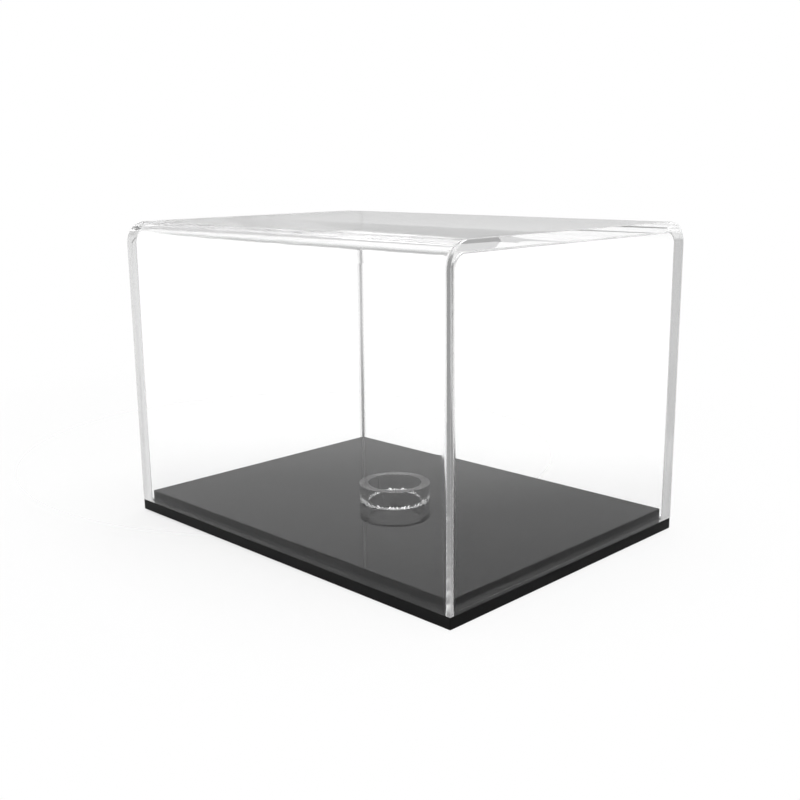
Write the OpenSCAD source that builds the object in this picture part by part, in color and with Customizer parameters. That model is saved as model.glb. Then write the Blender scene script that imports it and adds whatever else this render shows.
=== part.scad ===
// Tabletop display case: a clear acrylic hood that lifts off a stepped black acrylic base,
// with a loose clear ring that holds the displayed piece.
// Millimetres, +Z up. X runs along the long side and Y along the short one. The origin is the
// centre of the case on the surface that it stands on.

/* [Case] */
// Overall length of the case, along X
case_length = 243; // [200:1:320]
// Overall depth of the case, along Y
case_depth = 181; // [140:1:240]
// Overall height of the case, from the table to the top of the hood
case_height = 168.5; // [120:0.5:260]

/* [Hood] */
// Thickness of the clear sheet that the hood is made of
sheet_thickness = 5; // [3:0.5:6]
// Outside radius of the two hot bends along the top
bend_radius = 12; // [8:1:20]

/* [Base] */
// Thickness of the lower board, which the hood stands on
board_thickness = 6; // [4:0.5:10]
// Thickness of the riser board, which the hood drops over
riser_thickness = 6; // [3:0.5:10]
// Gap between the riser and the inside of the hood, on every side
riser_gap = 1; // [0.4:0.1:2]
// Width of the small chamfer polished along every edge of the two boards
board_ease = 0.4; // [0.2:0.1:0.8]

/* [Ring stand] */
// Outside diameter of the ring stand
ring_diameter = 40; // [34:1:70]
// Diameter of the hole through the ring stand
ring_bore = 30; // [15:1:32]
// Height of the ring stand
ring_height = 10; // [5:0.5:25]
// Width of the chamfer on the ring's four rims
ring_ease = 0.5; // [0.2:0.1:0.8]

/* [Feet] */
// Diameter of one stick-on bumper foot
foot_diameter = 10; // [6:0.5:14]
// Height of one bumper foot
foot_height = 1; // [0.8:0.1:3]
// Distance from the base's edges to the centre of a foot
foot_inset = 16; // [8:0.5:30]
// Width of the chamfer round the sole of a foot
foot_ease = 0.3; // [0.1:0.1:0.5]

/* [Hidden] */
$fn = 96;

// Levels, from the table up.
board_z = foot_height;
hood_z = board_z + board_thickness;
riser_z = hood_z;
ring_z = riser_z + riser_thickness;

// The bent cover reaches from one end panel to the other.
cover_length = case_length - 2 * sheet_thickness;
hood_height = case_height - hood_z;
inner_radius = bend_radius - sheet_thickness;
leg_height = hood_height - bend_radius;
top_width = case_depth - 2 * bend_radius;

// The riser fills the hood's mouth, less the gap.
riser_length = cover_length - 2 * riser_gap;
riser_depth = case_depth - 2 * (sheet_thickness + riser_gap);

foot_x = case_length / 2 - foot_inset;
foot_y = case_depth / 2 - foot_inset;

// A rectangle, centred on the origin, with its four corners cut at 45 degrees.
module eased_rectangle(width, height, ease) {
    x = width / 2;
    y = height / 2;
    polygon([
        [x - ease, -y], [x, -y + ease], [x, y - ease], [x - ease, y],
        [-x + ease, y], [-x, y - ease], [-x, -y + ease], [-x + ease, -y]
    ]);
}

// A board standing on Z = 0 with a chamfer along all twelve edges.
module eased_board(length, depth, thickness, ease) {
    translate([0, 0, thickness / 2])
        intersection() {
            linear_extrude(thickness, center = true)
                eased_rectangle(length, depth, ease);
            rotate([90, 0, 0])
                linear_extrude(depth, center = true)
                    eased_rectangle(length, thickness, ease);
            rotate([90, 0, 90])
                linear_extrude(length, center = true)
                    eased_rectangle(depth, thickness, ease);
        }
}

// The lower board, as long and as deep as the hood.
module base_board() {
    color("#17171a")
        translate([0, 0, board_z])
            eased_board(case_length, case_depth, board_thickness, board_ease);
}

// The upper board, bonded to the lower one. It keeps the hood in place.
module riser_board() {
    color("#1d1d20")
        translate([0, 0, riser_z])
            eased_board(riser_length, riser_depth, riser_thickness, board_ease);
}

// One bumper foot, on its sole at Z = 0.
module foot(x_side, y_side) {
    color("#e4e6e6", 0.6)
        translate([x_side * foot_x, y_side * foot_y, 0])
            union() {
                cylinder(h = foot_ease, d1 = foot_diameter - 2 * foot_ease, d2 = foot_diameter);
                translate([0, 0, foot_ease])
                    cylinder(h = foot_height - foot_ease, d = foot_diameter);
            }
}

// One hot bend: a quarter tube along X, from a leg's top to the flat top. Its centre line is X = 0.
module bend(length) {
    rotate([90, 0, 90])
        translate([0, 0, -length / 2])
            rotate_extrude(angle = 90)
                translate([inner_radius, 0])
                    square([sheet_thickness, length]);
}

// The sheet that is bent into the hood's front, top and back.
module bent_cover() {
    color("#eef1f2", 0.3)
        translate([0, 0, hood_z])
            union() {
                for (side = [0, 1])
                    mirror([0, side, 0]) {
                        translate([-cover_length / 2, case_depth / 2 - sheet_thickness, 0])
                            cube([cover_length, sheet_thickness, leg_height]);
                        translate([0, top_width / 2, leg_height])
                            bend(cover_length);
                    }
                translate([-cover_length / 2, -top_width / 2, hood_height - sheet_thickness])
                    cube([cover_length, top_width, sheet_thickness]);
            }
}

// The outline of an end panel: the outside of the bent cover, seen along X.
module end_outline() {
    union() {
        translate([-case_depth / 2, 0])
            square([case_depth, leg_height]);
        translate([-top_width / 2, 0])
            square([top_width, hood_height]);
        for (side = [-1, 1])
            translate([side * top_width / 2, leg_height])
                circle(r = bend_radius);
    }
}

// An end panel, welded over one end of the bent cover. Side is -1 at the left and 1 at the right.
module end_panel(side) {
    color("#eef1f2", 0.3)
        translate([side * (case_length - sheet_thickness) / 2, 0, hood_z])
            rotate([90, 0, 90])
                linear_extrude(sheet_thickness, center = true)
                    end_outline();
}

// The loose ring on the riser that holds a ball, an egg or a small helmet level.
module ring_stand() {
    outer = ring_diameter / 2;
    inner = ring_bore / 2;
    color("#f2f5f6", 0.4)
        translate([0, 0, ring_z])
            rotate_extrude()
                polygon([
                    [inner + ring_ease, 0], [outer - ring_ease, 0],
                    [outer, ring_ease], [outer, ring_height - ring_ease],
                    [outer - ring_ease, ring_height], [inner + ring_ease, ring_height],
                    [inner, ring_height - ring_ease], [inner, ring_ease]
                ]);
}

base_board();
riser_board();
foot(-1, -1);  // foot_front_left
foot(1, -1);  // foot_front_right
foot(-1, 1);  // foot_rear_left
foot(1, 1);  // foot_rear_right
bent_cover();
end_panel(-1);  // left_end_panel
end_panel(1);  // right_end_panel
ring_stand();
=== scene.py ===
"""Display case: a clear acrylic hood on a stepped black acrylic base, with a loose ring stand.

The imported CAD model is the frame. Every piece here is a new surface that stands for one CAD node
and takes its place and size from that node's box. Lengths are metres, and a size that is given in
millimetres is multiplied by MM. +X runs along the long side, +Y along the short side, +Z up.
"""

import logging
import math
from dataclasses import dataclass, field
from enum import Enum

import bpy
import numpy as np
from mathutils import Matrix, Vector


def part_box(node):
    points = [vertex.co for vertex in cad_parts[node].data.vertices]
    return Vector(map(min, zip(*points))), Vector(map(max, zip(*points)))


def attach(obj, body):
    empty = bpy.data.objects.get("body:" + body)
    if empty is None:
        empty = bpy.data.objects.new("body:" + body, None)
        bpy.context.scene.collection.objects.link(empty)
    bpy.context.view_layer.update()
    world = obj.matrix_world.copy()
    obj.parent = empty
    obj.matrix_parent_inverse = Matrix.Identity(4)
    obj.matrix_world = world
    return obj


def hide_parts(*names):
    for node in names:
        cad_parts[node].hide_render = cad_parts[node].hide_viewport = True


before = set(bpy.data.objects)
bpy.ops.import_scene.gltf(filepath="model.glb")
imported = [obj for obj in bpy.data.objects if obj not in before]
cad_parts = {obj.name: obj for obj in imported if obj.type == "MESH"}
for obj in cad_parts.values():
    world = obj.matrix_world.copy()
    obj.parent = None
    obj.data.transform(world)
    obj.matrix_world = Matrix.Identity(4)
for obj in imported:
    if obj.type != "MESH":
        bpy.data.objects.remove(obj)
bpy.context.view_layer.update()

log = logging.getLogger("display_case")

MM = 0.001
# A clear piece keeps a film of air between it and the board that it touches. The film shows as
# the seam between them, and it keeps their surfaces apart.
FILM = 0.03 * MM
# What counts as 0, for the square of a length and for a share.
TINY = 1e-12


# ------------------------------------------------------------------------------------- surfaces


class Ends(Enum):
    """How the first and last ring of a skin are closed."""

    JOINED = "the last ring joins the first"
    FACE = "one flat face at each end"
    BAND = "each end is a band between the two halves of its ring"


@dataclass(frozen=True)
class Outline:
    """A closed outline in a plane: its points and the outward normals there, both (n, 2)."""

    points: np.ndarray
    normals: np.ndarray

    def moved(self, right: float, up: float) -> "Outline":
        """Returns the outline moved by right and up."""
        return Outline(self.points + np.array([right, up]), self.normals)


@dataclass(frozen=True)
class Rings:
    """A row of rings, each a closed loop of points: the points and normals there, both (m, n, 3)."""

    points: np.ndarray
    normals: np.ndarray

    def pushed(self, by: np.ndarray) -> "Rings":
        """Moves each point along its normal and turns the normals to suit.

        The new normal is the old one less the slope of the push along each direction of the
        surface, where a slope is the change of push over the change of place between neighbours.

        Args:
            by: How far each point moves, (m, n).

        Returns:
            The rings as moved.
        """
        slopes = np.zeros_like(self.points)
        for axis in (0, 1):
            step = np.roll(self.points, -1, axis) - np.roll(self.points, 1, axis)
            rise = np.roll(by, -1, axis) - np.roll(by, 1, axis)
            if axis == 0:
                step[0], rise[0] = self.points[1] - self.points[0], by[1] - by[0]
                step[-1], rise[-1] = self.points[-1] - self.points[-2], by[-1] - by[-2]
            slopes += step * (rise / np.maximum((step ** 2).sum(-1), TINY))[..., None]
        normals = self.normals - slopes
        normals /= np.linalg.norm(normals, axis=-1, keepdims=True)
        return Rings(self.points + self.normals * by[..., None], normals)


@dataclass(frozen=True)
class Solid:
    """A closed surface: points (n, 3), normals (n, 3), faces, and how hazy each point is."""

    points: np.ndarray
    normals: np.ndarray
    faces: list[list[int]]
    haze: np.ndarray


def rounded_rectangle(low: tuple[float, float], high: tuple[float, float],
                      radii: tuple[float, float], steps: int) -> Outline:
    """An upright rectangle with round corners.

    A corner of radius r has its centre r inside both sides. Its points are the centre plus r
    times (cos a, sin a) over a quarter turn, and the straight sides join one corner to the next.

    Args:
        low: Left and bottom of the rectangle.
        high: Right and top of the rectangle.
        radii: Radius of the two bottom corners, then of the two top corners.
        steps: Segments in each corner.

    Returns:
        The outline, anticlockwise from the right-hand end of the bottom side.
    """
    sides = np.array([[1, 0], [1, 1], [0, 1], [0, 0]])
    radius = np.asarray(radii)[sides[:, 1:]]
    corners = np.where(sides == 1, np.asarray(high) - radius, np.asarray(low) + radius)
    turn = np.linspace(0.0, math.pi / 2, steps + 1) + (np.arange(4)[:, None] - 1) * math.pi / 2
    normals = np.stack([np.cos(turn), np.sin(turn)], -1)
    points = corners[:, None] + radius[..., None] * normals
    return Outline(points.reshape(-1, 2), normals.reshape(-1, 2))


def circle(radius: float, steps: int) -> Outline:
    """A circle about the origin: radius times (cos a, sin a).

    Args:
        radius: Its radius.
        steps: Its segments.

    Returns:
        The outline, anticlockwise.
    """
    turn = np.arange(steps) * 2 * math.pi / steps
    normals = np.stack([np.cos(turn), np.sin(turn)], 1)
    return Outline(radius * normals, normals)


def prism(outline: Outline, low: float, high: float, ease: float, steps: int = 3) -> Rings:
    """Carries an outline straight up and rounds both of its rims over by a quarter circle.

    At turn a of the quarter circle the ring stands ease times (1 - cos a) in from the end, its
    outline is ease times (1 - sin a) smaller, and its normal is the outline's times sin a plus
    the end's times cos a.

    Args:
        outline: Its outline, seen from above.
        low: The height of its foot.
        high: The height of its top.
        ease: Radius of the rounding.
        steps: Segments in each rounding.

    Returns:
        Its rings, from low to high.
    """
    turn = np.linspace(0.0, math.pi / 2, steps + 1)
    rise, inset, lean = ease * (1 - np.cos(turn)), ease * (1 - np.sin(turn)), np.cos(turn)
    height = np.concatenate([low + rise, (high - rise)[::-1]])
    inset = np.concatenate([inset, inset[::-1]])
    lean = np.concatenate([-lean, lean[::-1]])
    points = np.empty((len(height), len(outline.points), 3))
    normals = np.empty_like(points)
    points[..., :2] = outline.points - outline.normals * inset[:, None, None]
    points[..., 2] = height[:, None]
    normals[..., :2] = outline.normals * np.sqrt(1 - lean ** 2)[:, None, None]
    normals[..., 2] = lean[:, None]
    return Rings(points, normals)


def band(path: Outline, section: Outline) -> Rings:
    """Carries an upright section round a level path, as a lathe does when the path is a circle.

    Each point is the path's point plus the path's normal times the section's first number, at
    the height of the section's second.

    Args:
        path: The path, seen from above.
        section: The section, as distance out from the path and height.

    Returns:
        Its rings, one for each point of the path.
    """
    out, height = section.points.T
    points = np.empty((len(path.points), len(out), 3))
    normals = np.empty_like(points)
    points[..., :2] = path.points[:, None] + path.normals[:, None] * out[:, None]
    points[..., 2] = height
    normals[..., :2] = path.normals[:, None] * section.normals[:, :1]
    normals[..., 2] = section.normals[:, 1]
    return Rings(points, normals)


def skin(rings: Rings, ends: Ends, sheet: np.ndarray | None = None,
         haze: float | np.ndarray = 0.0) -> Solid:
    """Covers rings with four-sided faces, closes the ends and turns every face outwards.

    Point j of ring i is number i * n + j. A face has the corners (i, j), (i, j + 1),
    (i + 1, j + 1) and (i + 1, j). The haze of a sawn edge is 1 less the cosine between its normal
    and the direction through the sheet.

    Args:
        rings: The rings, (m, n).
        ends: How the first and last are closed.
        sheet: The direction through the sheet, in all or at each point.
        haze: More haze, in all or at each point.

    Returns:
        The closed surface.
    """
    count, around, _ = rings.points.shape
    points, normals = rings.points.reshape(-1, 3), rings.normals.reshape(-1, 3)
    rows = count if ends is Ends.JOINED else count - 1
    i, j = np.meshgrid(np.arange(rows), np.arange(around), indexing="ij")
    next_i, next_j = (i + 1) % count, (j + 1) % around
    corners = ((i, j), (i, next_j), (next_i, next_j), (next_i, j))
    quads = np.stack([row * around + column for row, column in corners], -1).reshape(-1, 4)
    a, b, c, d = (points[quads[:, k]] for k in range(4))
    inside_out = float(np.sum(np.cross(c - a, d - b) * normals[quads].mean(1))) < 0
    faces = quads.tolist()
    last = (count - 1) * around
    if ends is Ends.FACE:
        faces += [list(range(around))[::-1], list(range(last, last + around))]
    if ends is Ends.BAND:
        k = np.arange(around // 2 - 1)
        strip = np.stack([k, around - 1 - k, around - 2 - k, k + 1], 1)
        faces += strip.tolist() + (strip[:, ::-1] + last).tolist()
    if inside_out:
        faces = [face[::-1] for face in faces]
    haze = haze + np.zeros((count, around))
    if sheet is not None:
        haze = haze + 1 - np.abs((rings.normals * sheet).sum(-1))
    return Solid(points, normals, faces, haze.ravel())


# ------------------------------------------------------------------------------------ materials


def linear(colour: str) -> tuple[float, float, float, float]:
    """Turns an sRGB hex colour to linear light.

    Args:
        colour: Such as "#17171a".

    Returns:
        Red, green and blue, and 1 for alpha.
    """
    levels = [int(colour[i:i + 2], 16) / 255 for i in (1, 3, 5)]
    red, green, blue = (c / 12.92 if c <= 0.04045 else ((c + 0.055) / 1.055) ** 2.4 for c in levels)
    return red, green, blue, 1.0


def add_node(tree: bpy.types.NodeTree, kind: str, settings: dict[str, str] | None = None,
             **inputs: float | tuple | bpy.types.NodeSocket) -> bpy.types.Node:
    """Adds a node with its settings, values and links.

    Args:
        tree: The node tree.
        kind: The node's type, such as "ShaderNodeMath".
        settings: Properties of the node itself.
        **inputs: Input sockets, by name with _ for a space, or by number as in0, in1. A value is
            a number, a colour or another node's output socket.

    Returns:
        The new node.
    """
    node = tree.nodes.new(kind)
    for name, value in (settings or {}).items():
        setattr(node, name, value)
    for name, value in inputs.items():
        by_number = name[:2] == "in" and name[2:].isdigit()
        socket = node.inputs[int(name[2:]) if by_number else name.replace("_", " ")]
        if isinstance(value, bpy.types.NodeSocket):
            tree.links.new(value, socket)
        else:
            socket.default_value = value
    return node


def new_material(name: str) -> tuple[bpy.types.Material, bpy.types.NodeTree]:
    """Makes an empty node material.

    Args:
        name: Its name.

    Returns:
        The material and its node tree.
    """
    material = bpy.data.materials.new(name)
    material.use_nodes = True
    material.node_tree.nodes.clear()
    return material, material.node_tree


@dataclass(frozen=True)
class ClearAcrylic:
    """Clear cast acrylic: dead smooth faces, and sawn edges that a flame has polished.

    The faces show only what they mirror and bend. The edges keep a trace of the saw, so the grey
    that comes up through them is even and soft. The long way through a sheet, from edge to edge,
    takes about a tenth of the light. Cement fills the inside corners. It is a little rougher than
    the sheet, and its grey tint is painted shade, which draws each corner as a soft grey line.
    """

    name: str = "cast_acrylic_clear"
    tint: str = "#ffffff"
    # The cement's grey is painted shade, which darkens the inside corners to a soft grey line.
    cement: str = "#dfdfdf"
    ior: float = 1.49
    edge_roughness: float = 0.1
    absorbing: str = "#ebebeb"
    density: float = 3.0

    def make(self) -> bpy.types.Material:
        """Returns the material."""
        material, tree = new_material(self.name)
        haze = add_node(tree, "ShaderNodeAttribute", {"attribute_name": "haze"}).outputs["Fac"]
        roughness = add_node(tree, "ShaderNodeMath", {"operation": "MULTIPLY"}, in0=haze,
                             in1=self.edge_roughness).outputs[0]
        # Past a haze of 1, in the cement, the colour goes from the tint to the cement's grey: painted
        # shade in the inside corners.
        painted_corner_shade = add_node(tree, "ShaderNodeMapRange", in0=haze, in1=1.0, in2=2.0).outputs[0]
        colour = add_node(tree, "ShaderNodeMix", {"data_type": "RGBA"}, in0=painted_corner_shade,
                          in6=linear(self.tint), in7=linear(self.cement)).outputs[2]
        surface = add_node(tree, "ShaderNodeBsdfPrincipled", Base_Color=colour, IOR=self.ior,
                           Roughness=roughness, Transmission_Weight=1.0)
        inside = add_node(tree, "ShaderNodeVolumeAbsorption", Color=linear(self.absorbing),
                          Density=self.density)
        add_node(tree, "ShaderNodeOutputMaterial", Surface=surface.outputs[0],
                 Volume=inside.outputs[0])
        return material


@dataclass(frozen=True)
class BlackAcrylic:
    """Black cast acrylic board: opaque and deep black, with a gloss that mirrors what stands on it."""

    name: str = "cast_acrylic_black"
    colour: str = "#0c0c0d"
    ior: float = 1.49
    roughness: float = 0.02
    edge_roughness: float = 0.12

    def make(self) -> bpy.types.Material:
        """Returns the material."""
        material, tree = new_material(self.name)
        haze = add_node(tree, "ShaderNodeAttribute", {"attribute_name": "haze"}).outputs["Fac"]
        roughness = add_node(tree, "ShaderNodeMapRange", in0=haze, in1=0.0, in2=1.0,
                             in3=self.roughness, in4=self.edge_roughness).outputs[0]
        surface = add_node(tree, "ShaderNodeBsdfPrincipled", Base_Color=linear(self.colour),
                           IOR=self.ior, Roughness=roughness)
        add_node(tree, "ShaderNodeOutputMaterial", Surface=surface.outputs[0])
        return material


@dataclass(frozen=True)
class ClearBumper:
    """Soft clear polyurethane, moulded: a milky gloss."""

    name: str = "moulded_polyurethane_clear"
    tint: str = "#f4f6f6"
    ior: float = 1.5
    roughness: float = 0.3

    def make(self) -> bpy.types.Material:
        """Returns the material."""
        material, tree = new_material(self.name)
        surface = add_node(tree, "ShaderNodeBsdfPrincipled", Base_Color=linear(self.tint),
                           IOR=self.ior, Roughness=self.roughness, Transmission_Weight=1.0)
        add_node(tree, "ShaderNodeOutputMaterial", Surface=surface.outputs[0])
        return material


# --------------------------------------------------------------------------------------- pieces


def dress(name: str, solid: Solid, finish: bpy.types.Material, body: str, slot: str,
          *nodes: str) -> None:
    """Makes an object of a solid and gives it its finish, its body and the CAD nodes it replaces.

    Args:
        name: The piece's name.
        solid: Its surface.
        finish: Its material.
        body: The CAD body that it rides on.
        slot: Not used.
        *nodes: The CAD nodes that it stands for.
    """
    mesh = bpy.data.meshes.new(name)
    mesh.from_pydata(solid.points.tolist(), [], solid.faces)
    mesh.polygons.foreach_set("use_smooth", np.ones(len(mesh.polygons), bool))
    mesh.normals_split_custom_set_from_vertices(solid.normals.tolist())
    haze = mesh.attributes.new("haze", "FLOAT", "POINT")
    haze.data.foreach_set("value", solid.haze.astype(np.float32))
    mesh.update()
    mesh.materials.append(finish)
    piece = bpy.data.objects.new(name, mesh)
    bpy.context.scene.collection.objects.link(piece)
    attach(piece, body)
    if nodes:
        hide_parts(*nodes)
    log.info("%s: %d faces, rides on %s", name, len(mesh.polygons), body)


@dataclass
class Base:
    """The black base: a lower board, a riser cemented on it, and four bumper feet."""

    # The boards' upright corners, then the rounding of all their other edges.
    corner: float = 0.6 * MM
    corner_steps: int = 4
    ease: float = 0.4 * MM
    # The rounding of a foot's rims, and the foot's segments.
    foot_ease: float = 0.3 * MM
    foot_steps: int = 64
    # The bead of cement round the foot of the riser.
    bead: float = 0.35 * MM
    bead_steps: int = 5
    black: BlackAcrylic = field(default_factory=BlackAcrylic)
    bumper: ClearBumper = field(default_factory=ClearBumper)

    def footprint(self, node: str) -> Outline:
        """The outline of a board, seen from above.

        Args:
            node: The board's CAD node.

        Returns:
            The outline.
        """
        low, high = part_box(node)
        return rounded_rectangle(low[:2], high[:2], (self.corner, self.corner), self.corner_steps)

    def board(self, node: str) -> Solid:
        """A board: its outline carried up, with every edge eased.

        Args:
            node: The board's CAD node.

        Returns:
            Its surface.
        """
        low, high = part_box(node)
        rings = prism(self.footprint(node), low.z, high.z, self.ease)
        return skin(rings, Ends.FACE, np.array([0, 0, 1]))

    def cement(self) -> Solid:
        """The bead of cement in the corner between the boards: a hollow fillet round the riser.

        The face of its section is a quarter circle that is centred outside the corner, from the
        riser's wall down to the lower board. The rest is sunk in the boards by half its size.
        """
        low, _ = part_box("riser_board")
        turn = np.linspace(math.pi, 1.5 * math.pi, self.bead_steps + 1)
        curve = np.stack([np.cos(turn), np.sin(turn)], 1)
        sunk = -0.5 * self.bead
        buried = [[self.bead, sunk], [sunk, sunk], [sunk, self.bead]]
        points = np.concatenate([self.bead * (1 + curve), buried])
        normals = np.concatenate([-curve, math.sqrt(0.5) * np.array([[1, -1], [-1, -1], [-1, 1]])])
        section = Outline(points, normals).moved(0, low.z)
        return skin(band(self.footprint("riser_board"), section), Ends.JOINED)

    def foot(self, node: str) -> Solid:
        """A foot: a disc with both rims rounded over.

        Args:
            node: The foot's CAD node.

        Returns:
            Its surface.
        """
        low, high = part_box(node)
        middle = (low + high) / 2
        disc = circle((high.x - low.x) / 2, self.foot_steps).moved(middle.x, middle.y)
        return skin(prism(disc, low.z, high.z - FILM, self.foot_ease), Ends.FACE)

    def build(self) -> None:
        """Makes the boards, the cement and the feet."""
        black, bumper = self.black.make(), self.bumper.make()
        for node in ("base_board", "riser_board"):
            dress(node + "_cast", self.board(node), black, "base", "black_acrylic", node)
        dress("riser_cement", self.cement(), black, "base", "black_acrylic")
        for node in ("foot_front_left", "foot_front_right", "foot_rear_left", "foot_rear_right"):
            dress(node + "_bumper", self.foot(node), bumper, "base", "clear_bumper", node)


@dataclass
class Hood:
    """The clear hood: a sheet bent into front, top and back, and an end panel welded over each end.

    The welds are clear, so the three sheets are one solid with a cavity that opens downwards. Its
    surface is a row of loops round it, one at each level: down the cavity from its top, round the
    rim of the mouth and up the outside to the top.
    """

    # The outside radius of the two bends.
    bend: float = 12.0 * MM
    bend_steps: int = 40
    # The rounding of the sawn edges, outside and round the mouth.
    ease: float = 0.04 * MM
    rim_steps: int = 4
    # The fillets of cement in the cavity's upright edges, left and right, front then back.
    cement: tuple[tuple[float, float], ...] = ((1.0 * MM, 1.0 * MM), (4.0 * MM, 1.0 * MM))
    # The cement's haze makes it rough, and above 1 it also paints the cement grey, as painted shade in
    # the corners.
    cement_haze_and_shade: float = 3.0
    corner_steps: int = 12
    # The distance between two points along the sheet, and how deep a weld's hairline is.
    pitch: float = 4.0 * MM
    seam: float = 0.03 * MM
    # What the heat leaves in the bends.
    thinning: float = 0.08 * MM
    ripple: float = 0.02 * MM
    ripple_lengths: tuple[float, float] = (22.0 * MM, 35.2 * MM)
    clear: ClearAcrylic = field(default_factory=ClearAcrylic)

    @property
    def sheet(self) -> float:
        """The thickness of the sheets, as the CAD's end panels have it."""
        low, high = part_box("right_end_panel")
        return high.x - low.x

    def side(self, half: Vector, mouth: float, radius: float, edges: tuple[float, float],
             stations: np.ndarray, facing: int) -> tuple[np.ndarray, np.ndarray, np.ndarray]:
        """The back half of the outside of the hood or of the wall of its cavity, from the mouth up.

        A loop runs from the left end along the back to the right end, at one level. At angle b
        of the bend, the back stands radius times (1 - cos b) in and radius times sin b up from
        the top of the leg. At an edge the normal turns by angle a from the end's to the back's,
        round a quarter circle of the edge's radius. Round the rim, the loop draws in by ease
        times (1 - sin b) at the height ease times (1 - cos b), or spreads by as much if it is
        the cavity's.

        Args:
            half: Half the length, half the depth, and the height of the top.
            mouth: The height of the mouth.
            radius: The bend's radius.
            edges: The radii of the left and right edges, where the end panels meet the back.
            stations: Where the back has points, from 0 at its left edge to 1 at its right one.
            facing: 1 for the outside and -1 for the cavity.

        Returns:
            The points and normals of the loops, and the direction through the sheet at each.
        """
        ease = self.ease
        rim = np.linspace(0.0, math.pi / 2, self.rim_steps + 1)
        quarter = np.linspace(0.0, math.pi / 2, self.corner_steps + 1)
        bend = np.linspace(0.0, math.pi / 2, self.bend_steps + 1)
        end = np.repeat([-1.0, 0.0, 1.0], [len(quarter), len(stations), len(quarter)])
        edge = np.where(end < 0, *edges)
        x = end * (half.x - edge)
        x[end == 0] = x[0] + (x[-1] - x[0]) * stations
        turn = np.concatenate([quarter[::-1], 0 * stations, quarter])
        level = np.stack([end * np.sin(turn), np.cos(turn), 0 * turn], -1)
        up, b = np.array([0.0, 0.0, 1.0]), rim[:, None, None]
        place = np.stack([x, half.y - edge, np.full_like(x, mouth + ease)], -1)
        spread = edge[:, None] - facing * ease * (1 - np.sin(b))
        rim_points = place - ease * np.cos(b) * up + spread * level
        rim_normals = facing * np.sin(b) * level - np.cos(b) * up
        cos, sin = np.cos(bend[:, None]), np.sin(bend[:, None])
        over = np.stack(np.broadcast_arrays(level[:, 0], level[:, 1] * cos, level[:, 1] * sin), -1)
        place = np.stack(np.broadcast_arrays(x, half.y - radius + (radius - edge) * cos,
                                             half.z - radius + (radius - edge) * sin), -1)
        points = np.concatenate([rim_points, place + edge[:, None] * over])
        normals = np.concatenate([rim_normals, facing * over])
        bent = np.concatenate([0 * rim, bend])[:, None]
        through = np.stack(np.broadcast_arrays(0 * x, np.cos(bent), np.sin(bent)), -1)
        panel = (np.abs(x) > half.x - self.sheet * (1 + facing) / 2) | (turn > math.pi / 4)
        return points, normals, np.where(panel[:, None], np.array([1.0, 0.0, 0.0]), through)

    def shell(self, half: Vector, mouth: float, radius: float, edges: tuple[tuple[float, float], ...],
              stations: np.ndarray, facing: int) -> tuple[Rings, np.ndarray]:
        """The whole outside of the hood, or the whole wall of its cavity.

        Args:
            half: Half the length, half the depth, and the height of the top.
            mouth: The height of the mouth.
            radius: The bends' radius.
            edges: The radii of the left and right edges, at the front and then at the back.
            stations: Where the front and back have points, from 0 at the left to 1 at the right.
            facing: 1 for the outside and -1 for the cavity.

        Returns:
            The loops, from the mouth up, and the direction through the sheet at each point.
        """
        mirror = np.array([1.0, -1.0, 1.0])
        front, back = (self.side(half, mouth, radius, pair, stations, facing) for pair in edges)
        points, normals, through = (np.concatenate([ahead * mirror, behind[:, ::-1]], 1)
                                    for ahead, behind in zip(front, back))
        return Rings(points, normals), through

    def welded(self) -> Solid:
        """The whole hood, thinned a little in its bends and faintly rippled along them.

        Both faces of the sheet sink by the thinning times sin(2b) squared at angle b of the bend,
        and by the mean of two waves along X that rises and falls with it. The welds show outside
        as hairlines. The haze of the cement in the cavity's edges is 1 where it meets the sheets.
        Between them it rises to its own haze, by 4 times the square of the normal's X times 1
        less that square. That haze makes the cement rough and tints it grey, as painted shade.
        """
        low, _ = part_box("left_end_panel")
        _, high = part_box("right_end_panel")
        mouth = low.z + FILM
        weld = high.x - self.sheet
        # Three points across each weld carry its hairline: the middle one sinks.
        line = np.array([-2, 0, 2]) * self.seam
        plain = np.linspace(-weld, weld, math.ceil(2 * weld / self.pitch))[1:-1]
        reach = high.x - self.ease
        stations = (np.concatenate([line - weld, plain, line + weld]) + reach) / (2 * reach)
        outer, outer_through = self.shell(high, mouth, self.bend, ((self.ease,) * 2,) * 2, stations, 1)
        stations = np.linspace(0, 1, len(stations) + 2)[1:-1]
        inner, inner_through = self.shell(high - Vector((self.sheet,) * 3), mouth, self.bend - self.sheet,
                                          self.cement, stations, -1)
        rings = Rings(np.concatenate([inner.points[::-1], outer.points]),
                      np.concatenate([inner.normals[::-1], outer.normals]))
        through = np.concatenate([inner_through[::-1], outer_through])
        x = rings.points[..., 0]
        wave = sum(np.sin(2 * math.pi * x / length + i) for i, length in enumerate(self.ripple_lengths))
        bent = (2 * through[..., 1] * through[..., 2]) ** 2
        groove = self.seam * (np.abs(np.abs(x) - weld) < self.seam)
        groove[:len(inner.points)] = 0
        rings = rings.pushed(-(self.thinning + self.ripple * wave / 2) * bent - groove)
        lean = inner.normals[::-1, :, 0] ** 2
        corner = 4 * lean * (1 - lean)
        haze = np.zeros_like(x)
        haze[:len(lean)] = (corner > TINY) * (1 + (self.cement_haze_and_shade - 1) * corner)
        return skin(rings, Ends.BAND, through, haze)

    def build(self) -> None:
        """Makes the hood."""
        dress("welded_hood", self.welded(), self.clear.make(), "hood", "clear_acrylic",
              "bent_cover", "left_end_panel", "right_end_panel")


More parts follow.
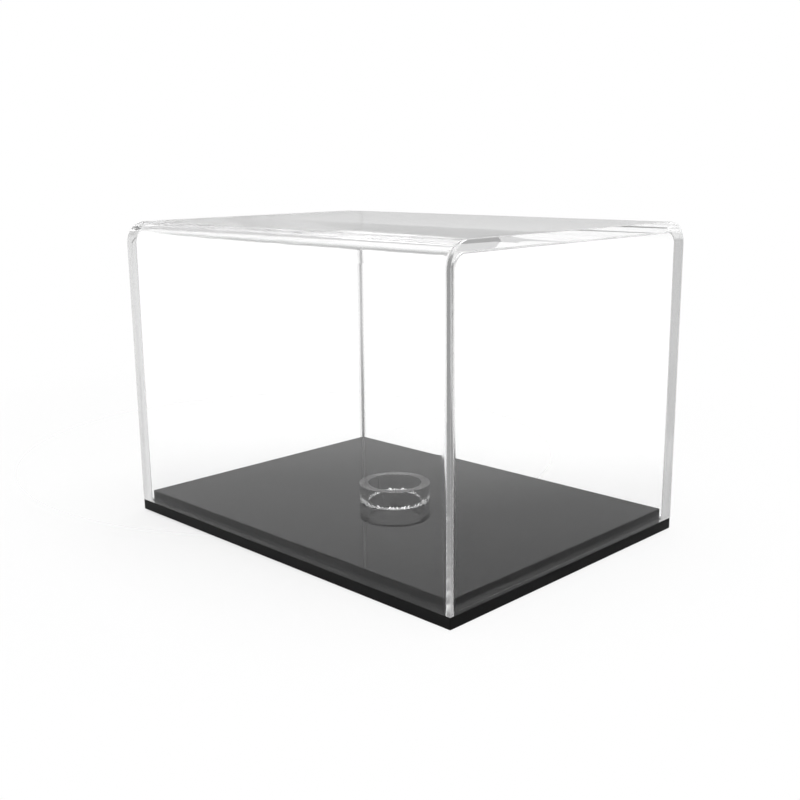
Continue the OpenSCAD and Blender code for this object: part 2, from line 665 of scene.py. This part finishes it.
@dataclass
class RingStand:
    """The loose ring that holds the displayed piece: a slice of clear tube with turned rims."""

    # The bore's radius, and the segments round the ring.
    bore: float = 15.0 * MM
    steps: int = 384
    # The rounding of the top rims, and the least and the most at the foot.
    ease: float = 0.25 * MM
    foot_ease: tuple[float, float] = (0.1 * MM, 1.2 * MM)
    ease_steps: int = 5
    # How deep the chatter is at the foot and how far it runs up, and its waves round the ring.
    chatter: float = 0.12 * MM
    chatter_rise: float = 1.2 * MM
    chatter_waves: tuple[int, ...] = (13, 29, 47)
    chatter_gain: float = 2.5
    # Tube is less clear than cast sheet, so the ring is greyer than the hood, most through its rims.
    clear: ClearAcrylic = field(default_factory=lambda: ClearAcrylic(
        name="turned_acrylic_clear", absorbing="#cbcbcb", density=75.0))

    def tube(self) -> Solid:
        """The tube: a rounded rectangle, wall by height, carried round the bore.

        Its foot was parted off, which left chatter. The chatter goes round the ring as the gain
        times the mean of three sines, cut off below 0 and above 1. The foot's two roundings
        swell by it, from the first of their radii to the second, and the surface sinks by it,
        which dies out with height above the foot.
        """
        low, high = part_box("ring_stand")
        turn = np.arange(self.steps)[:, None] * 2 * math.pi / self.steps
        wave = sum(np.sin(count * turn + count) for count in self.chatter_waves)
        wave = np.clip(self.chatter_gain * wave / len(self.chatter_waves), 0, 1)
        inner, outer = (0, low.z + FILM), (high.x - self.bore, high.z)
        fine, coarse = (band(circle(self.bore, self.steps),
                             rounded_rectangle(inner, outer, (foot, self.ease), self.ease_steps))
                        for foot in self.foot_ease)
        rings = Rings(fine.points + (coarse.points - fine.points) * wave[..., None], fine.normals)
        path = circle(1.0, self.steps).points[:, None]
        sheet = np.concatenate([path, np.zeros((self.steps, 1, 1))], 2)
        above = (rings.points[..., 2] - low.z) / self.chatter_rise
        rings = rings.pushed(-self.chatter * wave * np.exp(-above ** 2))
        return skin(rings, Ends.JOINED, sheet)

    def build(self) -> None:
        """Makes the ring."""
        dress("ring_stand_tube", self.tube(), self.clear.make(), "ring", "clear_ring", "ring_stand")


# --------------------------------------------------------------------------------------- studio


class Sight(Enum):
    """How a ray got to what it meets."""

    STRAIGHT = "straight from the camera"
    THROUGH = "only through clear acrylic"
    FEW_TURNS = "along inside a sheet, with a few turns"
    MANY_TURNS = "along inside a sheet, with many turns"
    LONG_WAY = "along inside several sheets, the long way round"


@dataclass
class Studio:
    """The white floor, the grey studio that the case mirrors, the softbox and the camera."""

    # The camera: its place, lens and sensor in mm, its angles in degrees, and how near and how far
    # it sees in metres.
    camera_place: tuple[float, float, float] = (404.71, -405.84, 198.95)
    azimuth: float = 44.743
    elevation: float = 12.669
    roll: float = -0.557
    lens: float = 47.389
    sensor: float = 36.0
    clip: tuple[float, float] = (0.01, 100.0)
    # What the case mirrors, by height, then overhead and on the camera's side.
    around: float = 0.58
    horizon: float = 0.64
    horizon_edge: tuple[float, float] = (0.08, 0.18)
    overhead: tuple[float, float] = (0.44, 0.54)
    ceiling: float = 1.0
    front: float = 0.45
    front_edge: tuple[float, float] = (0.5, 0.2)
    # What is seen through clear acrylic, and how many turns inside a sheet count as few or many.
    behind_sheet: float = 1.2
    behind_edge: float = 0.82
    behind_bend: float = 3.2
    few_turns: tuple[int, int] = (3, 12)
    many_turns: tuple[int, int] = (13, 44)
    half_turn: float = 0.5
    # The studio's walls: how far the ray points to the back, and the strength there. Then how
    # steep it is where the white above and below begins, and where it is full.
    wall_levels: tuple[tuple[float, float], ...] = ((-0.82, 0.68), (-0.77, 0.5), (0.3, 0.89),
                                                    (0.6, 0.89), (0.7, 0.36), (0.8, 0.28))
    wall_top: tuple[float, float] = (0.38, 0.5)
    # The floor as the case mirrors it is painted shade, a grey in place of the white paper: left and
    # right of an edge, and farther out.
    floor_mirrored_shade: tuple[float, float] = (0.37, 0.22)
    floor_edge: tuple[float, float] = (0.11, 0.14)
    floor_far: float = 0.8
    floor_reach: tuple[float, float] = (0.2, 0.34)
    # The floor as it is seen: the middle of the lit paper, where it fades out, and its shadow.
    floor_size: float = 24.0
    paper: tuple[float, float, float] = (-0.17, 0.06, 0.0)
    fade: tuple[float, float] = (0.14, 0.42)
    shadow: float = 0.27
    # The softbox: its power in watts, its side and its height in metres.
    lamp_power: float = 13.5
    lamp_size: float = 1.2
    lamp_height: float = 1.5
    # Light that runs along inside a sheet may turn a hundred times before it leaves.
    bounces: int = 160

    def camera(self) -> None:
        """Makes the camera: it looks against back, with its upright turned by the roll."""
        azimuth, elevation, roll = (math.radians(a) for a in (self.azimuth, self.elevation, self.roll))
        reach = math.cos(elevation)
        back = Vector((math.sin(azimuth) * reach, -math.cos(azimuth) * reach, math.sin(elevation)))
        level = Vector((0, 0, 1)).cross(back).normalized()
        upright = back.cross(level)
        right = math.cos(roll) * level + math.sin(roll) * upright
        up = math.cos(roll) * upright - math.sin(roll) * level
        data = bpy.data.cameras.new("camera")
        data.sensor_width = self.sensor
        data.lens = self.lens
        data.clip_start, data.clip_end = self.clip
        camera = bpy.data.objects.new("camera", data)
        place = Matrix.Translation([c * MM for c in self.camera_place])
        camera.matrix_world = place @ Matrix((right, up, back)).transposed().to_4x4()
        bpy.context.scene.collection.objects.link(camera)
        bpy.context.scene.camera = camera

    def sight(self, tree: bpy.types.NodeTree) -> dict[Sight, bpy.types.NodeSocket]:
        """Tells rays apart by how they got here.

        Light Path counts each turn inside a sheet as glossy. Half a turn is what tells one whole
        number of turns from the next.

        Args:
            tree: The node tree that the nodes go in.

        Returns:
            1 or 0 for each kind of ray.
        """
        path = add_node(tree, "ShaderNodeLightPath").outputs
        depth = path["Glossy Depth"]
        mirrored = add_node(tree, "ShaderNodeMath", in0=depth, in1=path["Diffuse Depth"]).outputs[0]
        plain = add_node(tree, "ShaderNodeMath", {"operation": "LESS_THAN"}, in0=mirrored,
                         in1=self.half_turn).outputs[0]
        through = add_node(tree, "ShaderNodeMath", {"operation": "MULTIPLY"},
                           in0=path["Is Transmission Ray"], in1=plain).outputs[0]
        few, many = (add_node(tree, "ShaderNodeMath", {"operation": "COMPARE"}, in0=depth,
                              in1=(low + high) / 2, in2=(high - low) / 2 + self.half_turn).outputs[0]
                     for low, high in (self.few_turns, self.many_turns))
        more = add_node(tree, "ShaderNodeMath", {"operation": "GREATER_THAN"}, in0=depth,
                        in1=self.many_turns[1] + self.half_turn).outputs[0]
        return {Sight.STRAIGHT: path["Is Camera Ray"], Sight.THROUGH: through,
                Sight.FEW_TURNS: few, Sight.MANY_TURNS: many, Sight.LONG_WAY: more}

    @staticmethod
    def total(tree: bpy.types.NodeTree, sockets: list[bpy.types.NodeSocket]) -> bpy.types.NodeSocket:
        """Adds up numbers.

        Args:
            tree: The node tree that the nodes go in.
            sockets: The outputs that hold them.

        Returns:
            The output that holds their sum.
        """
        whole = sockets[0]
        for socket in sockets[1:]:
            whole = add_node(tree, "ShaderNodeMath", in0=whole, in1=socket).outputs[0]
        return whole

    def walls(self, tree: bpy.types.NodeTree, direction: bpy.types.NodeSocket,
              back: bpy.types.NodeSocket) -> bpy.types.NodeSocket:
        """The walls of the studio, with a grey card behind the case, and the white above and below.

        Args:
            tree: The node tree that the nodes go in.
            direction: The direction of the ray.
            back: How far the ray's heading points to the back, from -1 to 1.

        Returns:
            The output that holds the strength of the light there.
        """
        place = add_node(tree, "ShaderNodeMapRange", in0=back, in1=-1.0, in2=1.0).outputs[0]
        ramp = add_node(tree, "ShaderNodeValToRGB", Fac=place)
        stops = ramp.color_ramp.elements
        for where, _ in self.wall_levels[2:]:
            stops.new((1 + where) / 2)
        for stop, (where, level) in zip(stops, self.wall_levels):
            stop.position = (1 + where) / 2
            stop.color = (level, level, level, 1)
        height = add_node(tree, "ShaderNodeSeparateXYZ", in0=direction).outputs["Z"]
        steep = add_node(tree, "ShaderNodeMath", {"operation": "ABSOLUTE"}, in0=height).outputs[0]
        white = add_node(tree, "ShaderNodeMapRange", {"interpolation_type": "SMOOTHSTEP"},
                         in0=steep, in1=self.wall_top[0], in2=self.wall_top[1]).outputs[0]
        return add_node(tree, "ShaderNodeMix", Factor=white, A=ramp.outputs[0],
                        B=self.ceiling).outputs[0]

    def mirrored(self, tree: bpy.types.NodeTree, height: bpy.types.NodeSocket,
                 ahead: bpy.types.NodeSocket) -> bpy.types.NodeSocket:
        """The surroundings as the case mirrors them: grey, darker by the camera and white overhead.

        Args:
            tree: The node tree that the nodes go in.
            height: How far the ray's direction points up, from -1 to 1.
            ahead: How far its heading points away from the camera, from -1 to 1.

        Returns:
            The output that holds the strength of the light there.
        """
        path = add_node(tree, "ShaderNodeLightPath").outputs
        overhead, front = (add_node(tree, "ShaderNodeMapRange", {"interpolation_type": "SMOOTHSTEP"},
                                    in0=value, in1=low, in2=high).outputs[0]
                           for value, (low, high) in ((height, self.overhead), (ahead, self.front_edge)))
        white = add_node(tree, "ShaderNodeMath", {"operation": "MULTIPLY"}, in0=overhead,
                         in1=path["Is Glossy Ray"]).outputs[0]
        grey = add_node(tree, "ShaderNodeMapRange", {"interpolation_type": "SMOOTHSTEP"}, in0=height,
                        in1=self.horizon_edge[0], in2=self.horizon_edge[1], in3=self.horizon,
                        in4=self.around).outputs[0]
        level = add_node(tree, "ShaderNodeMix", Factor=front, A=grey, B=self.front).outputs[0]
        return add_node(tree, "ShaderNodeMix", Factor=white, A=level, B=self.ceiling).outputs[0]

    def world(self) -> None:
        """Makes the surroundings: white where they are seen, and grey where the case mirrors them.

        Through clear acrylic the backdrop is a little over white, so that it is still white once
        the sheets have taken their share. Light that leaves a sheet after the fewest turns is
        less white, which draws the sawn edges. Light that has turned many times inside a sheet
        comes from the walls of the studio. What went the long way round, as the bends send it,
        has lost the most, and is made up for.
        """
        world = bpy.data.worlds.new("studio")
        world.use_nodes = True
        tree = world.node_tree
        tree.nodes.clear()
        direction = add_node(tree, "ShaderNodeTexCoord").outputs["Generated"]
        level = add_node(tree, "ShaderNodeVectorMath", {"operation": "MULTIPLY"}, in0=direction,
                         in1=(1, 1, 0)).outputs[0]
        heading = add_node(tree, "ShaderNodeVectorMath", {"operation": "NORMALIZE"}, in0=level).outputs[0]
        azimuth = math.radians(self.azimuth)
        ahead = add_node(tree, "ShaderNodeVectorMath", {"operation": "DOT_PRODUCT"}, in0=heading,
                         in1=(-math.sin(azimuth), math.cos(azimuth), 0)).outputs["Value"]
        back = add_node(tree, "ShaderNodeSeparateXYZ", in0=heading).outputs["Y"]
        sight = self.sight(tree)
        least = self.few_turns[0]
        turns = add_node(tree, "ShaderNodeLightPath").outputs["Glossy Depth"]
        turned = add_node(tree, "ShaderNodeMapRange", in0=turns, in1=least, in2=least + 1,
                          in3=self.behind_edge, in4=self.behind_sheet).outputs[0]
        levels = {Sight.THROUGH: self.behind_sheet, Sight.FEW_TURNS: turned,
                  Sight.MANY_TURNS: self.walls(tree, direction, back), Sight.LONG_WAY: self.behind_bend}
        seen = [sight[Sight.STRAIGHT]]
        for kind, strength in levels.items():
            seen.append(add_node(tree, "ShaderNodeMath", {"operation": "MULTIPLY"},
                                 in0=sight[kind], in1=strength).outputs[0])
        height = add_node(tree, "ShaderNodeSeparateXYZ", in0=direction).outputs["Z"]
        white = (1, 1, 1, 1)
        grey = self.mirrored(tree, height, ahead)
        even = add_node(tree, "ShaderNodeBackground", Color=white, Strength=grey)
        glow = add_node(tree, "ShaderNodeBackground", Color=white, Strength=self.total(tree, seen))
        either = add_node(tree, "ShaderNodeMixShader", in0=self.total(tree, list(sight.values())),
                          in1=even.outputs[0], in2=glow.outputs[0])
        add_node(tree, "ShaderNodeOutputWorld", Surface=either.outputs[0])
        bpy.context.scene.world = world

    def floor(self) -> None:
        """Makes the floor: lit white paper near the case, which fades into the white surroundings.

        Where the case mirrors the floor, it is grey as painted shade, so that the black base stays black:
        darker near the case, darkest past its right end, and lighter farther out.
        """
        mesh = bpy.data.meshes.new("floor")
        far = self.floor_size / 2
        corners = [(-far, -far, 0), (far, -far, 0), (far, far, 0), (-far, far, 0)]
        mesh.from_pydata(corners, [], [(0, 1, 2, 3)])
        floor = bpy.data.objects.new("floor", mesh)
        bpy.context.scene.collection.objects.link(floor)
        material, tree = new_material("studio_paper_white")
        place = add_node(tree, "ShaderNodeTexCoord").outputs["Object"]
        distance = add_node(tree, "ShaderNodeVectorMath", {"operation": "DISTANCE"}, in0=place,
                            in1=self.paper).outputs["Value"]
        sight = self.sight(tree)
        inside = (Sight.FEW_TURNS, Sight.MANY_TURNS, Sight.LONG_WAY)
        turned = self.total(tree, [sight[kind] for kind in inside])
        fade = add_node(tree, "ShaderNodeMapRange", {"interpolation_type": "SMOOTHSTEP"}, in0=distance,
                        in1=self.fade[0], in2=self.fade[1], in3=1 - self.shadow, in4=1.0).outputs[0]
        fade = add_node(tree, "ShaderNodeMath", {"operation": "MAXIMUM"}, in0=fade, in1=turned).outputs[0]
        lit = add_node(tree, "ShaderNodeBsdfDiffuse", Color=(1, 1, 1, 1))
        clear = add_node(tree, "ShaderNodeBsdfTransparent", Color=(1, 1, 1, 1))
        paper = add_node(tree, "ShaderNodeMixShader", in0=fade, in1=lit.outputs[0],
                         in2=clear.outputs[0])
        # The floor as mirrored is painted shade: grey, darker right of the edge, and lighter farther out.
        right = add_node(tree, "ShaderNodeSeparateXYZ", in0=place).outputs["X"]
        grey = add_node(tree, "ShaderNodeMapRange", {"interpolation_type": "SMOOTHSTEP"}, in0=right,
                        in1=self.floor_edge[0], in2=self.floor_edge[1],
                        in3=self.floor_mirrored_shade[0], in4=self.floor_mirrored_shade[1]).outputs[0]
        reach = add_node(tree, "ShaderNodeVectorMath", {"operation": "LENGTH"},
                         in0=place).outputs["Value"]
        grey = add_node(tree, "ShaderNodeMapRange", {"interpolation_type": "SMOOTHSTEP"}, in0=reach,
                        in1=self.floor_reach[0], in2=self.floor_reach[1], in3=grey,
                        in4=self.floor_far).outputs[0]
        mirrored = add_node(tree, "ShaderNodeBsdfDiffuse", Color=grey)
        either = add_node(tree, "ShaderNodeMixShader", in0=self.total(tree, list(sight.values())),
                          in1=mirrored.outputs[0], in2=paper.outputs[0])
        add_node(tree, "ShaderNodeOutputMaterial", Surface=either.outputs[0])
        mesh.materials.append(material)

    def softbox(self) -> None:
        """Makes the softbox, straight above the case."""
        light = bpy.data.lights.new("softbox", "AREA")
        light.shape = "SQUARE"
        light.size = self.lamp_size
        light.energy = self.lamp_power
        lamp = bpy.data.objects.new("softbox", light)
        lamp.location = (0, 0, self.lamp_height)
        bpy.context.scene.collection.objects.link(lamp)

    def build(self) -> None:
        """Makes them all, and sets how the picture is made up."""
        self.camera()
        self.world()
        self.floor()
        self.softbox()
        scene = bpy.context.scene
        scene.view_settings.view_transform = "Standard"
        scene.cycles.max_bounces = self.bounces
        scene.cycles.glossy_bounces = self.bounces
        scene.cycles.transmission_bounces = self.bounces


def main() -> None:
    """Builds the studio and the case."""
    logging.basicConfig(level=logging.INFO, format="%(name)s: %(message)s")
    for part in (Studio(), Base(), Hood(), RingStand()):
        part.build()


if __name__ == "__main__":
    main()
